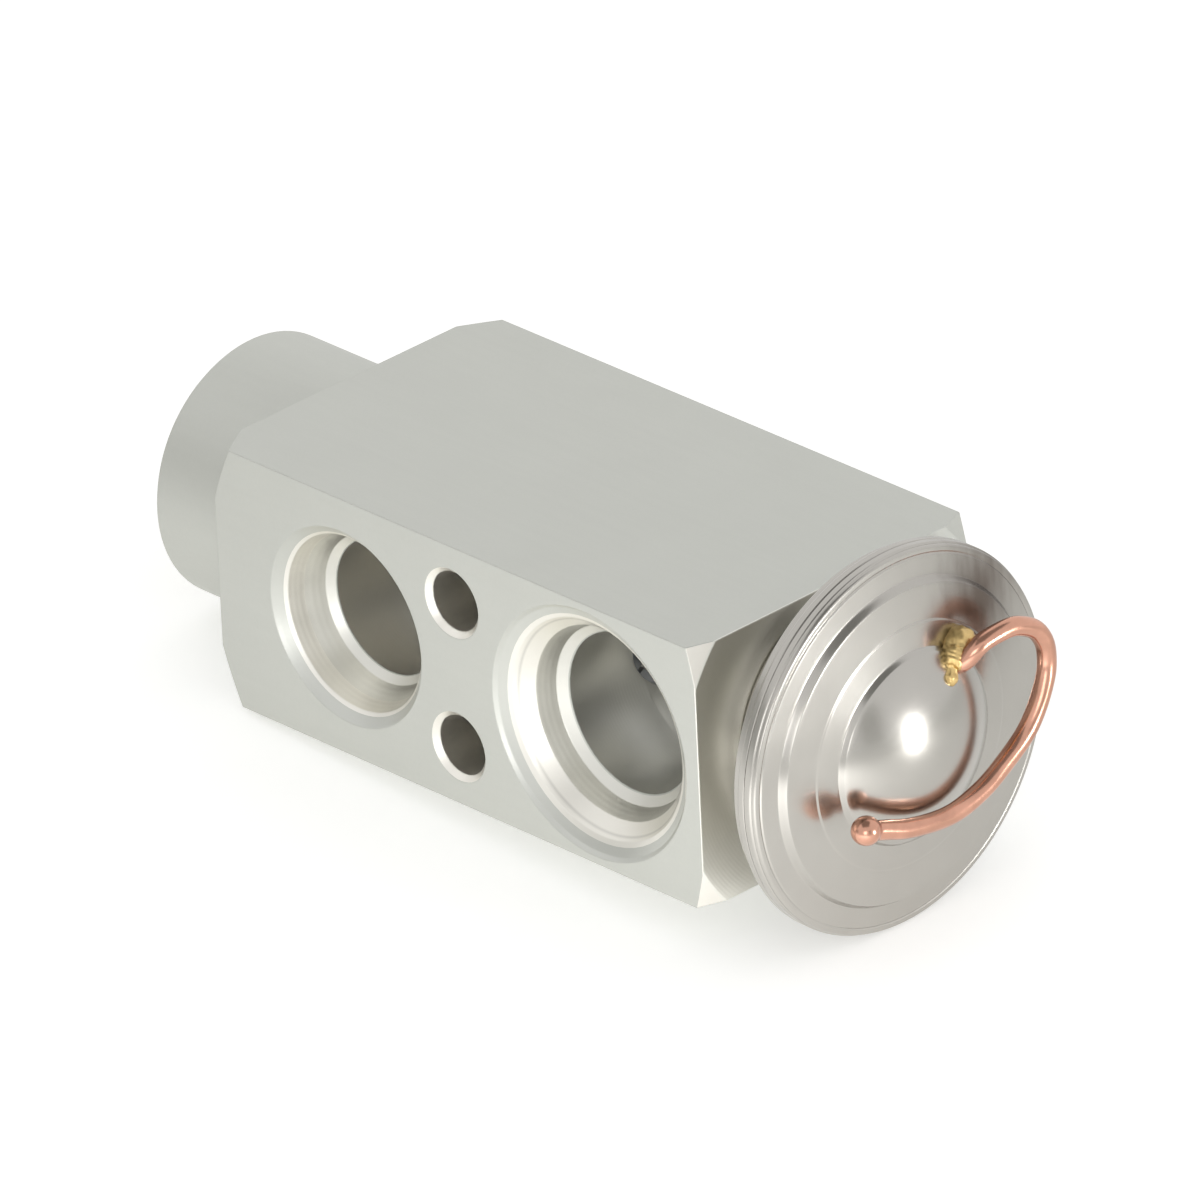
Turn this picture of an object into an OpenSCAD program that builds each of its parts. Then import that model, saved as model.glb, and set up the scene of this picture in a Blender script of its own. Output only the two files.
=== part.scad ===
// Block-type expansion valve with a charged power element.
// The valve axis is X, with the power element at the +X end.
// The block's port face looks along -Y, and the valve lies with its wide faces up and down.
// The origin is on the valve axis, at the middle of the two bolt holes.

/* [Block] */
// Depth of the block, from the port face to the rear face
block_depth = 38; // [36.5:0.5:44]
// Height of the block as it lies
block_height = 28.7; // [28.2:0.1:34]
// Distance from the bolt holes to the head end of the block
head_reach = 34.1; // [33.5:0.1:38]
// Distance from the bolt holes to the block's corners at the tail end
tail_reach = 31.3; // [31:0.1:33.5]
// Slope turned on the block's corners at the tail end, in degrees from flat
tail_slope = 38; // [30:1:42]
// Diameter of the flat ring on the tail end, inside that slope
tail_flat_d = 41.4; // [40:0.2:43]
// Diameter at which the turned facets start on the head end
facet_d = 42.8; // [41:0.2:45]
// Slope of the turned facets on the head end, in degrees from flat
facet_slope = 25; // [15:1:40]
// Diameter of the round boss at the tail end
boss_d = 27.8; // [24:0.2:28]
// Distance from the bolt holes to the end of the boss
boss_reach = 48.7; // [48:0.1:54]
// Chamfer on the boss's outer edge
boss_chamfer = 0.7; // [0.3:0.1:1.5]

/* [Bolt holes] */
// Diameter of the two through holes, for M6 bolts
bolt_hole_d = 6.4; // [5.3:0.1:6.8]
// Distance between the two bolt holes
bolt_spacing = 16; // [15:0.5:18]
// Diameter of the countersink on each bolt hole
bolt_sink_d = 7.6; // [7.2:0.1:8.2]

/* [Suction ports] */
// Distance of the suction ports from the bolt holes, towards the head
suction_x = 18.8; // [18:0.1:19.4]
// Diameter of the suction passage, right through the block
suction_bore_d = 17.1; // [15:0.1:17.4]
// Diameter of the narrow end of the tapered O-ring seat in each suction port
suction_seat_d = 19.2; // [18:0.1:20]
// Diameter of the wide end of that seat
suction_taper_d = 20.7; // [20:0.1:22]
// Diameter of the lead-in's mouth
suction_mouth_d = 23.6; // [22.2:0.2:25]
// Diameter of the sunk ring around each suction port
suction_spot_d = 27.1; // [26:0.1:27.6]

/* [Liquid ports] */
// Distance of the outlet port on the port face from the bolt holes, towards the tail
outlet_x = 15.5; // [15.4:0.1:15.9]
// Distance of the inlet port on the rear face from the bolt holes, towards the tail
inlet_x = 20.3; // [19.8:0.1:20.5]
// Diameter of the liquid port bores
liquid_bore_d = 14.5; // [13.6:0.1:14.7]
// Diameter of the narrow end of the tapered O-ring seat in each liquid port
liquid_seat_d = 16.1; // [15.4:0.1:16.8]
// Diameter of the wide end of that seat
liquid_taper_d = 17.9; // [17:0.1:18.4]
// Diameter of the lead-in's mouth
liquid_mouth_d = 19; // [18.6:0.1:19.6]
// Diameter of the sunk ring around each liquid port
liquid_spot_d = 21.5; // [20.8:0.1:21.8]

/* [Port depths] */
// Chamfer on the sunk ring's outer edge
spot_edge = 0.4; // [0.3:0.1:0.6]
// Depth of the sunk ring at the mouth of the lead-in
spot_depth = 1.2; // [0.9:0.1:1.6]
// Depth at which the O-ring seat starts
seat_start = 2.9; // [2.4:0.1:3.2]
// Depth at which the O-ring seat ends
seat_end = 5; // [4.6:0.1:5.4]
// Length of the sloping shoulder between seat and bore
shoulder = 0.8; // [0.5:0.1:1.2]
// How much the passage behind the reamed bores narrows, in radius
bore_step = 0.5; // [0.4:0.1:0.6]

/* [Power element] */
// Outer diameter of the power element's rim
rim_d = 40.6; // [39:0.2:44]
// Thickness of the sheet at the rim, for each cover
sheet = 0.8; // [0.6:0.05:1]
// Thickness of the diaphragm
diaphragm_t = 0.15; // [0.1:0.01:0.2]
// Distance from the block's head end to the diaphragm
head_stand = 7.3; // [6.8:0.1:9]
// Diameter of the threaded neck that screws into the block
neck_d = 20; // [19:0.5:21]
// Length of the threaded neck
neck_length = 4.8; // [4:0.1:4.9]
// Diameter of the lower cover's hub, which rests on the block
hub_d = 27; // [26:0.5:28]
// Height of the hub above the block
hub_height = 2.6; // [2:0.1:3]
// Diameter of the step circle on the upper cover
step_d = 33.8; // [32:0.2:35]
// Height of the step circle above the seam
step_rise = 1.8; // [1.5:0.1:2.2]
// Diameter of the dome's foot
dome_d = 20.4; // [18:0.2:22]
// Height of the dome's foot above the seam
dome_foot = 3.4; // [3:0.1:4]
// Height of the dome above its foot
dome_rise = 3.5; // [3:0.1:4.2]

/* [Charge tube] */
// Outer diameter of the copper charge tube
tube_d = 2; // [1.6:0.1:2.2]
// Wall of the copper charge tube
tube_wall = 0.5; // [0.3:0.05:0.6]
// Diameter of the melted ball that seals the tube
bead_d = 3; // [2.6:0.1:3.4]

/* [Valve train] */
// Diameter of the sensing shaft
shaft_d = 6.4; // [5.6:0.1:7]
// Diameter of the thin operating pin
pin_d = 2.4; // [2:0.1:2.8]
// Diameter of the valve ball
ball_d = 6; // [5.6:0.1:6.4]
// Diameter of the orifice that the ball closes
orifice_d = 4; // [3.6:0.1:4.4]
// Travel of the ball from closed to fully open
lift = 0.8; // [0.5:0.05:1]
// Diameter of the pad under the diaphragm
pad_d = 24; // [22:0.5:25]

/* [Adjusting screw] */
// Thread diameter of the adjusting screw
screw_d = 14; // [13.6:0.1:15]
// Length of the adjusting screw
screw_length = 10.2; // [9.8:0.1:10.6]
// Key size of the hexagon socket, across flats
socket_af = 6; // [5:0.5:7]
// Travel of the screw to each side of its setting
screw_travel = 1.5; // [1:0.1:1.6]

/* [Superheat spring] */
// Diameter of the spring wire
wire_d = 1.2; // [1:0.05:1.3]
// Mean diameter of the spring's coils
coil_d = 7.6; // [7.4:0.1:7.8]
// Number of coils
coils = 5; // [4.5:0.5:5.5]

/* [Seals] */
// Cord diameter of the seal under the power element
head_seal_cord = 1.8; // [1.6:0.1:2]
// Cord diameter of the seal on the sensing shaft
shaft_seal_cord = 1.6; // [1.5:0.1:1.8]
// Cord diameter of the seal on the adjusting screw
screw_seal_cord = 1.8; // [1.6:0.05:1.85]
// Part of a cord's diameter that is left when the seal is squeezed
squeeze = 0.82; // [0.75:0.01:0.9]

/* [Hidden] */
$fn = 72;

// Radial clearance of everything that slides or turns
run = 0.04;
// Gap between pieces that only just touch
touch = 0.02;
// How far a cutting tool passes the face that it starts from
over = 1;

// The block and its ends
face_y = block_depth / 2;
corner_r = norm([block_depth / 2, block_height / 2]);
boss_r = boss_d / 2;
tail_face = tail_reach + (corner_r - tail_flat_d / 2) * tan(tail_slope);

// The passages, and how deep the reamed bores reach: they end just short of the shaft and the pin
suction_r = suction_bore_d / 2 - bore_step;
outlet_r = liquid_bore_d / 2 - bore_step;
outlet_floor = 3;
inlet_floor = 6.5;
feed_r = 2;
feed_x = inlet_x + liquid_bore_d / 2 - feed_r - 0.3;
suction_reach = face_y - shaft_d / 2 - 0.3;
liquid_reach = face_y - pin_d / 2 - 0.8;

// The valve seat, the ball chamber and the screw's bore
seat_wall = 2.2;
seat_x = outlet_x + outlet_r + seat_wall;
ball_r = ball_d / 2;
ball_x = seat_x + sqrt(pow(ball_r, 2) - pow(orifice_d / 2, 2)) + touch;
chamber_r = coil_d / 2 + wire_d / 2 + 0.8;
screw_r = screw_d / 2;
screw_end = boss_reach - screw_travel - 0.7;
screw_start = screw_end - screw_length;
screw_bore_start = screw_start - screw_travel - 0.5;
screw_mouth = 0.8;

// The ball carrier and the spring
cup_depth = 1.3;
carrier_front = ball_x + cup_depth;
carrier_back = carrier_front + 3;
carrier_r = coil_d / 2 + wire_d / 2;
stem_r = coil_d / 2 - wire_d / 2 - 0.2;
leaf = 0.3;
spring_front = carrier_back + leaf + touch;
pocket_depth = 4.6;
pocket_r = coil_d / 2 + wire_d / 2 + 0.2;
spring_back = screw_start + pocket_depth - touch;
stem_length = spring_back - spring_front - lift - screw_travel - 2;

// The sensing shaft, its bore and its seal pocket
shaft_r = shaft_d / 2;
pin_r = pin_d / 2;
shaft_low = 0.5;
shaft_bore_low = shaft_low - lift - 0.4;
seal_pocket_r = shaft_r + shaft_seal_cord * squeeze;
shaft_seal_length = shaft_seal_cord * 1.05;
washer_t = 0.5;
retainer_t = 0.6;
pocket_floor = suction_x - suction_bore_d / 2 - shaft_seal_length - washer_t - retainer_t - 0.1;
washer_x = pocket_floor + shaft_seal_length + 2 * touch;
retainer_x = washer_x + washer_t + touch;

// The power element, along the valve axis
neck_r = neck_d / 2;
socket_floor = head_reach - neck_length - 0.2;
throat_r = 6.5;
seam_x = head_reach + head_stand;
rim_r = rim_d / 2;
rim_round = 0.35;
hub_r = hub_d / 2;
hub_bore_r = 7.5;
pad_r = pad_d / 2;
pad_t = 1.5;
pad_room_r = pad_r + 0.6;
pad_x = seam_x - pad_t - touch;
pad_floor = pad_x - lift - 0.1;
clamp_r = rim_r - 2.2;
top_x = seam_x + diaphragm_t;
step_r = step_d / 2;
dome_r = dome_d / 2;
dome_top = top_x + dome_foot + dome_rise;
dome_ball_r = (pow(dome_r, 2) + pow(dome_rise, 2)) / (2 * dome_rise);
head_groove_r = neck_r + 0.3;
head_groove_width = head_seal_cord * 1.15;
head_groove_depth = head_seal_cord * squeeze + 2 * touch;

// The charge tube's route, each point as its angle around the valve axis,
// its distance outwards from the dome's foot, and its depth below the dome's top
tube_route = [
    [54.5, -1.3, 5.2],
    [54.5, -1.3, 3.1],
    [55, -0.6, 1.9],
    [55, 0.8, 1.15],
    [52.1, 2.1, 0.85],
    [44.8, 4.2, 0.4],
    [39.4, 5.2, 0.2],
    [32.2, 6.0, 0.1],
    [25.1, 6.1, 0],
    [18.2, 5.6, 0],
    [11.9, 4.7, -0.1],
    [2, 3.2, -0.1],
    [-9.1, 1.5, -0.1],
    [-23.4, -0.7, -0.15],
    [-48.7, -2.8, -0.3],
    [-87.1, -3.8, -0.35],
    [-129.4, -2.8, -0.2],
    [-147.9, -1.1, 0.15],
    [-157.9, 0.7, 0.5]];
// The braze's three drops, each placed as the route is, with its radius
braze_drops = [[[61.5, -2.6, 2.1], 0.9], [[57, -0.6, 3.0], 1.7], [[54, 0.9, 3.6], 1.7]];
tube_steps = 4;
tube_sides = 14;
braze_gap = 0.1;

// Shared shapes

// The faces of a skin over rings of points: two triangles for each four points, and the ends
function skin(last, sides) = concat(
    [[for (k = [0 : sides - 1]) k]],
    [[for (k = [sides - 1 : -1 : 0]) last * sides + k]],
    [for (i = [0 : last - 1]) for (k = [0 : sides - 1]) let (a = i * sides, n = (k + 1) % sides)
        each [[a + k, a + sides + k, a + n], [a + n, a + sides + k, a + sides + n]]]);

// Turns a flat drawing of radius and place into a solid on the valve axis
module turned() rotate([0, 90, 0]) rotate_extrude() children();

// A round bar or hole on the valve axis, between two places
module on_axis(r, from, to) {
    translate([from, 0, 0])
        rotate([0, 90, 0])
            cylinder(r = r, h = to - from);
}

// Sets a tool on the port face, pointing into the block
module from_port_face(x) translate([x, -face_y, 0]) rotate([-90, 0, 0]) children();

// Sets a tool on the rear face, pointing into the block
module from_rear_face(x) translate([x, face_y, 0]) rotate([90, 0, 0]) children();

// A round cord squeezed flat, as wide (in radius) and as long (on the axis) as its groove leaves it
module squeezed_cord(r, x, cord, wide, long) {
    translate([r, x])
        intersection() {
            circle(d = cord, $fn = 48);
            square([wide, long], center = true);
        }
}

// The block

// What the lathe leaves of the block: a flat ring and sloping corners at the tail, facets at the head
module turned_envelope() {
    big = corner_r + over;
    facet_x = head_reach - (big - facet_d / 2) * tan(facet_slope);
    slope_x = -tail_reach + (big - corner_r) * tan(tail_slope);
    turned()
        polygon([[0, -tail_face], [tail_flat_d / 2, -tail_face], [big, slope_x], [big, facet_x],
            [facet_d / 2, head_reach], [0, head_reach]]);
}

module boss() {
    turned()
        polygon([[0, -boss_reach], [boss_r - boss_chamfer, -boss_reach],
            [boss_r, -boss_reach + boss_chamfer], [boss_r, -tail_reach], [0, -tail_reach]]);
}

// A port's line, as radius and depth: sunk ring, lead-in, tapered O-ring seat, shoulder and reamed bore
function port_line(spot_d, mouth_d, taper_d, seat_d, bore_d, reach) = [
    [spot_d / 2, -over], [spot_d / 2, 0], [spot_d / 2 - spot_edge, spot_edge],
    [mouth_d / 2, spot_depth], [taper_d / 2, seat_start], [seat_d / 2, seat_end],
    [bore_d / 2, seat_end + shoulder], [bore_d / 2, reach]];

suction_line = port_line(suction_spot_d, suction_mouth_d, suction_taper_d, suction_seat_d,
    suction_bore_d, suction_reach);
suction_last = len(suction_line) - 1;

// The suction passage with a port at each end, narrower in the middle
module suction_tool() {
    waist = suction_reach + 2;
    rotate_extrude()
        polygon(concat([[0, -over]], suction_line,
            [[suction_r, waist], [suction_r, block_depth - waist]],
            [for (i = [suction_last : -1 : 0]) [suction_line[i][0], block_depth - suction_line[i][1]]],
            [[0, block_depth + over]]));
}

// A liquid port's tool
module liquid_tool(reach) {
    rotate_extrude()
        polygon(concat([[0, -over]],
            port_line(liquid_spot_d, liquid_mouth_d, liquid_taper_d, liquid_seat_d, liquid_bore_d, reach),
            [[0, reach]]));
}

// A bolt hole with a countersink at each end
module bolt_hole() {
    sink = (bolt_sink_d - bolt_hole_d) / 2;
    rotate([-90, 0, 0]) {
        translate([0, 0, -face_y - over]) cylinder(d = bolt_hole_d, h = block_depth + 2 * over);
        for (end = [0, 1])
            mirror([0, 0, end])
                translate([0, 0, face_y - sink])
                    cylinder(d1 = bolt_hole_d, d2 = bolt_sink_d, h = sink);
    }
}

module body_ports() {
    from_port_face(suction_x) suction_tool();
    from_port_face(-outlet_x) liquid_tool(liquid_reach);
    from_port_face(-outlet_x) cylinder(r = outlet_r, h = face_y + outlet_floor);
    from_rear_face(-inlet_x) liquid_tool(face_y - inlet_floor);
    // The drilling that feeds the ball chamber from the inlet
    translate([-feed_x, 0, 0])
        rotate([-90, 0, 0])
            translate([0, 0, chamber_r - over]) cylinder(r = feed_r, h = inlet_floor - chamber_r + 2 * over);
}

// Everything that is bored along the valve axis
module body_bores() {
    turned()
        polygon([[0, -boss_reach - over], [screw_r + screw_mouth, -boss_reach - over],
            [screw_r + screw_mouth, -boss_reach], [screw_r + run, -boss_reach + screw_mouth],
            [screw_r + run, -screw_bore_start], [chamber_r, -screw_bore_start],
            [chamber_r, -seat_x], [orifice_d / 2, -seat_x], [orifice_d / 2, -outlet_x],
            [pin_r + run, -outlet_x], [pin_r + run, shaft_bore_low], [shaft_r + run, shaft_bore_low],
            [shaft_r + run, pocket_floor], [seal_pocket_r, pocket_floor], [seal_pocket_r, suction_x],
            [throat_r, suction_x], [throat_r, socket_floor], [neck_r + run, socket_floor],
            [neck_r + run, head_reach - head_groove_depth],
            [head_groove_r + head_groove_width, head_reach - head_groove_depth],
            [head_groove_r + head_groove_width, head_reach + over], [0, head_reach + over]]);
}

module valve_body() {
    color("#c9cac5")
        difference() {
            union() {
                intersection() {
                    translate([-tail_face - over, -face_y, -block_height / 2])
                        cube([tail_face + over + head_reach, block_depth, block_height]);
                    turned_envelope();
                }
                boss();
            }
            body_ports();
            body_bores();
            for (side = [-1, 1])
                translate([0, 0, side * bolt_spacing / 2]) bolt_hole();
        }
}

// The power element

// The turned and threaded lower cover, which screws into the block
module lower_cover() {
    dish_x = head_reach + hub_height;
    color("#b9b7b2")
        turned()
            polygon([[hub_bore_r, head_reach - neck_length], [neck_r, head_reach - neck_length],
                [neck_r, head_reach], [hub_r, head_reach], [hub_r, dish_x],
                [rim_r - 1.4, seam_x - sheet - 0.3], [rim_r - 1, seam_x - sheet],
                [rim_r - rim_round, seam_x - sheet], [rim_r, seam_x - sheet + rim_round],
                [rim_r, seam_x], [clamp_r, seam_x], [pad_room_r + 0.4, pad_floor + 0.6],
                [pad_room_r, pad_floor + 0.3], [pad_room_r, pad_floor],
                [hub_bore_r, pad_floor]]);
}

// The upper cover's surface, as radius and place, from its rim to the dome's foot
function cover_line(in) = [
    [rim_r - 1.2 - in * 0.6, top_x + sheet + 0.1 - in],
    [step_r + 0.3, top_x + step_rise - 0.35 - in],
    [step_r, top_x + step_rise - in],
    [(step_r + dome_r) / 2 + 0.6, top_x + (step_rise + dome_foot) / 2 - in],
    [dome_r + 0.5, top_x + dome_foot - 0.25 - in],
    [dome_r - 0.3, top_x + dome_foot + 0.2 - in],
    [0, top_x + dome_foot + 0.2 - in]];

// The dome as a flat drawing, or its hollow when it is drawn smaller
module dome_shape(in) {
    intersection() {
        translate([0, dome_top - dome_ball_r]) circle(r = dome_ball_r - in, $fn = 180);
        translate([0, top_x + dome_foot - in - 0.05]) square([dome_r, dome_rise + over]);
    }
}

// The whole space that the upper cover takes up, hollow or not
module cover_outside() {
    polygon(concat([[0, top_x], [rim_r, top_x], [rim_r, top_x + sheet - rim_round],
        [rim_r - rim_round, top_x + sheet]], cover_line(0)));
    dome_shape(0);
}

module cover_inside() {
    polygon(concat([[0, top_x - over], [clamp_r, top_x - over], [clamp_r, top_x + 0.05]],
        cover_line(sheet)));
    dome_shape(sheet);
}

module upper_cover() {
    color("#c6c2bb")
        difference() {
            turned()
                difference() {
                    cover_outside();
                    cover_inside();
                }
            tube_root(tube_d / 2 + braze_gap);
        }
}

// The diaphragm's waves, between the pad and the clamped rim
wave_count = 2;
wave_height = 0.22;
wave_points = 24;
wave_from = pad_r + 0.3;
wave_to = clamp_r - 0.4;
function wave(i) = [wave_from + (wave_to - wave_from) * i / wave_points,
    seam_x + wave_height * (1 - cos(360 * wave_count * i / wave_points)) / 2];

module diaphragm() {
    low = [for (i = [0 : wave_points]) wave(i)];
    high = [for (i = [wave_points : -1 : 0]) wave(i) + [0, diaphragm_t]];
    color("#a9a7a2")
        turned()
            polygon(concat([[0, seam_x]], low, [[rim_r - 0.5, seam_x], [rim_r - 0.5, top_x]], high,
                [[0, top_x]]));
}

// The pad that the diaphragm presses on, with a socket for the sensing shaft
module diaphragm_pad() {
    socket = 3;
    socket_wall = 2.2;
    color("#b4b6b8")
        turned()
            polygon([[0, pad_x + pad_t], [pad_r - 0.5, pad_x + pad_t], [pad_r, pad_x + pad_t - 0.4],
                [pad_r, pad_x], [shaft_r + socket_wall, pad_x], [shaft_r + socket_wall, pad_x - socket],
                [shaft_r + touch, pad_x - socket], [shaft_r + touch, pad_x + 0.3], [0, pad_x + 0.3]]);
}

// The seal between the power element and the block
module head_seal() {
    color("#26292b")
        turned()
            squeezed_cord(head_groove_r + head_groove_width / 2, head_reach - head_groove_depth / 2,
                head_seal_cord, 2 * head_seal_cord, head_seal_cord * squeeze);
}

// The charge tube

// A point of the route in space
function route_point(p) = let (r = dome_r + p[1])
    [dome_top - p[2], r * cos(p[0]), r * sin(p[0])];
route = [for (p = tube_route) route_point(p)];
route_last = len(route) - 1;

// A smooth curve through four points of the route, at t between the middle two
function through(a, b, c, d, t) = (2 * b + (c - a) * t + (2 * a - 5 * b + 4 * c - d) * t * t
    + (3 * b - a - 3 * c + d) * t * t * t) / 2;
function held(i) = max(0, min(route_last, i));
tube_line = concat([for (i = [0 : route_last - 1]) for (s = [0 : tube_steps - 1])
    through(route[held(i - 1)], route[i], route[i + 1], route[held(i + 2)], s / tube_steps)],
    [route[route_last]]);
tube_last = len(tube_line) - 1;

// The tube's direction, and a direction across it that is carried along without twist
function unit(v) = v / norm(v);
function along(i) = unit(tube_line[min(tube_last, i + 1)] - tube_line[max(0, i - 1)]);
function carried(i, last) = i > tube_last ? []
    : let (v = unit(last - (last * along(i)) * along(i))) concat([v], carried(i + 1, v));
across = carried(0, [0, 0, 1]);

// One ring of the tube's skin
function ring(i, r) = [for (k = [0 : tube_sides - 1]) let (a = 360 * k / tube_sides)
    tube_line[i] + r * (cos(a) * across[i] + sin(a) * cross(along(i), across[i]))];

module tube_sweep(r, last) {
    points = [for (i = [0 : last]) each ring(i, r)];
    polyhedron(points = points, faces = skin(last, tube_sides), convexity = 8);
}

// The straight hole through the upper cover that the tube stands in
module tube_root(r) {
    translate([route[0][0] - over, route[0][1], route[0][2]])
        rotate([0, 90, 0]) cylinder(r = r, h = dome_top - route[0][0] + over);
}

module charge_tube() {
    color("#c98468")
        union() {
            tube_sweep(tube_d / 2, tube_last);
            translate(route[route_last]) sphere(d = bead_d);
        }
}

// The brass that joins the tube to the cover, run out along the cover to both sides
module braze_fillet() {
    color("#b9963f")
        difference() {
            hull()
                for (drop = braze_drops)
                    translate(route_point(drop[0])) sphere(r = drop[1], $fn = 24);
            translate([2 * touch, 0, 0]) turned() cover_outside();
            tube_sweep(tube_d / 2 + touch, 6 * tube_steps);
        }
}

// The valve train

// The thick shaft that feels the suction gas and carries the pad's travel down
module sensing_shaft() {
    color("#c2c4c6")
        turned()
            polygon([[0, shaft_low], [shaft_r - 0.4, shaft_low], [shaft_r, shaft_low + 0.4],
                [shaft_r, pad_x - 0.2], [shaft_r - 0.4, pad_x + 0.2], [0, pad_x + 0.2]]);
}

module shaft_seal() {
    color("#26292b")
        turned()
            squeezed_cord((seal_pocket_r + shaft_r) / 2, pocket_floor + touch + shaft_seal_length / 2,
                shaft_seal_cord, seal_pocket_r - shaft_r - 2 * touch, 2 * shaft_seal_cord);
}

module backup_washer() {
    color("#e4e2da")
        turned()
            translate([shaft_r + run, washer_x])
                square([seal_pocket_r - shaft_r - run - touch, washer_t]);
}

// The push-in ring that holds the seal, with sprung teeth around its hole
module seal_retainer() {
    teeth = 6;
    color("#9a9c9e")
        difference() {
            on_axis(seal_pocket_r - touch, retainer_x, retainer_x + retainer_t);
            on_axis(shaft_r + 0.4, retainer_x - over, retainer_x + retainer_t + over);
            for (k = [0 : teeth - 1])
                rotate([k * 360 / teeth, 0, 0])
                    translate([retainer_x - over, -0.3, 0])
                        cube([retainer_t + 2 * over, 0.6, shaft_r + 1.1]);
        }
}

module operating_pin() {
    end_x = -ball_x + ball_r + touch;
    color("#b7b9bb")
        turned()
            polygon([[0, end_x], [pin_r - 0.3, end_x], [pin_r, end_x + 0.3],
                [pin_r, shaft_low - touch], [0, shaft_low - touch]]);
}

module valve_ball() {
    color("#d4d6d8")
        translate([-ball_x, 0, 0]) sphere(r = ball_r);
}

// The cup that carries the ball, with a stem that guides the spring
module ball_carrier() {
    color("#b8a878")
        difference() {
            turned()
                polygon([[0, -carrier_front], [carrier_r - 0.5, -carrier_front],
                    [carrier_r, -carrier_front - 0.5], [carrier_r, -carrier_back],
                    [stem_r, -carrier_back], [stem_r, -carrier_back - stem_length + 0.5],
                    [stem_r - 0.5, -carrier_back - stem_length], [0, -carrier_back - stem_length]]);
            translate([-ball_x, 0, 0]) sphere(r = ball_r + touch);
        }
}

// The leaf ring that rubs on the chamber's wall and keeps the ball from chattering
module damping_spring() {
    legs = 3;
    leg_length = 3;
    leg_r = chamber_r - 0.1 - leaf;
    color("#a8aaac")
        translate([-carrier_back - leaf, 0, 0])
            difference() {
                union() {
                    on_axis(leg_r + leaf, 0, leaf);
                    for (k = [0 : legs - 1])
                        rotate([k * 360 / legs, 0, 0])
                            translate([0, -0.8, leg_r - 0.2]) cube([leg_length, 1.6, leaf]);
                }
                on_axis(stem_r + touch, -over, leaf + over);
                for (k = [0 : legs - 1])
                    rotate([(k + 0.5) * 360 / legs, 0, 0])
                        translate([-over, -2.2, carrier_r - 0.4])
                            cube([leaf + 2 * over, 4.4, chamber_r]);
            }
}

// One ring of the spring's wire at a turn of the coil
spring_sides = 8;
spring_per_turn = 24;
spring_steps = round(coils * spring_per_turn);
spring_run = spring_back - spring_front - wire_d;
// The coil is close at both ends, where it rests flat
function pitch_share(t) = let (flat = 0.7 / coils)
    t < flat ? 0 : t > 1 - flat ? 1 : (t - flat) / (1 - 2 * flat);
function spring_middle(i) = let (t = i / spring_steps, a = 360 * coils * t)
    [-spring_front - wire_d / 2 - spring_run * pitch_share(t), coil_d / 2 * cos(a), coil_d / 2 * sin(a)];
function spring_ring(i) = let (a = 360 * coils * i / spring_steps)
    [for (k = [0 : spring_sides - 1]) let (b = 360 * k / spring_sides)
        spring_middle(i) + wire_d / 2 * (cos(b) * [0, cos(a), sin(a)] + sin(b) * [1, 0, 0])];

module superheat_spring() {
    points = [for (i = [0 : spring_steps]) each spring_ring(i)];
    color("#8f9296")
        polyhedron(points = points, faces = skin(spring_steps, spring_sides), convexity = 12);
}

// The adjusting screw

groove_x = screw_start + 1.2;
groove_length = screw_seal_cord * 1.2;
groove_r = screw_r + run - screw_seal_cord * squeeze;

module adjusting_screw() {
    socket_depth = 4;
    thread_chamfer = 0.7;
    color("#b59a52")
        difference() {
            turned()
                polygon([[0, -screw_start], [screw_r - 0.5, -screw_start],
                    [screw_r, -screw_start - 0.5], [screw_r, -groove_x], [groove_r, -groove_x],
                    [groove_r, -groove_x - groove_length], [screw_r, -groove_x - groove_length],
                    [screw_r, -screw_end + thread_chamfer], [screw_r - thread_chamfer, -screw_end],
                    [0, -screw_end]]);
            on_axis(pocket_r, -screw_start - pocket_depth, -screw_start + over);
            translate([-screw_end - over, 0, 0])
                rotate([0, 90, 0])
                    cylinder(r = socket_af / sqrt(3), h = socket_depth + over, $fn = 6);
        }
}

module screw_seal() {
    color("#26292b")
        turned()
            squeezed_cord((groove_r + screw_r + run) / 2, -groove_x - groove_length / 2,
                screw_seal_cord, screw_r + run - groove_r - 2 * touch, 2 * screw_seal_cord);
}

valve_body();
lower_cover();
upper_cover();
diaphragm();
diaphragm_pad();
charge_tube();
braze_fillet();
head_seal();
sensing_shaft();
shaft_seal();
backup_washer();
seal_retainer();
operating_pin();
valve_ball();
ball_carrier();
damping_spring();
superheat_spring();
adjusting_screw();
screw_seal();
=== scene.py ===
"""Block-type expansion valve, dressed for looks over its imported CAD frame."""
import math

import bpy
import numpy as np
from mathutils import Matrix, Vector


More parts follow.
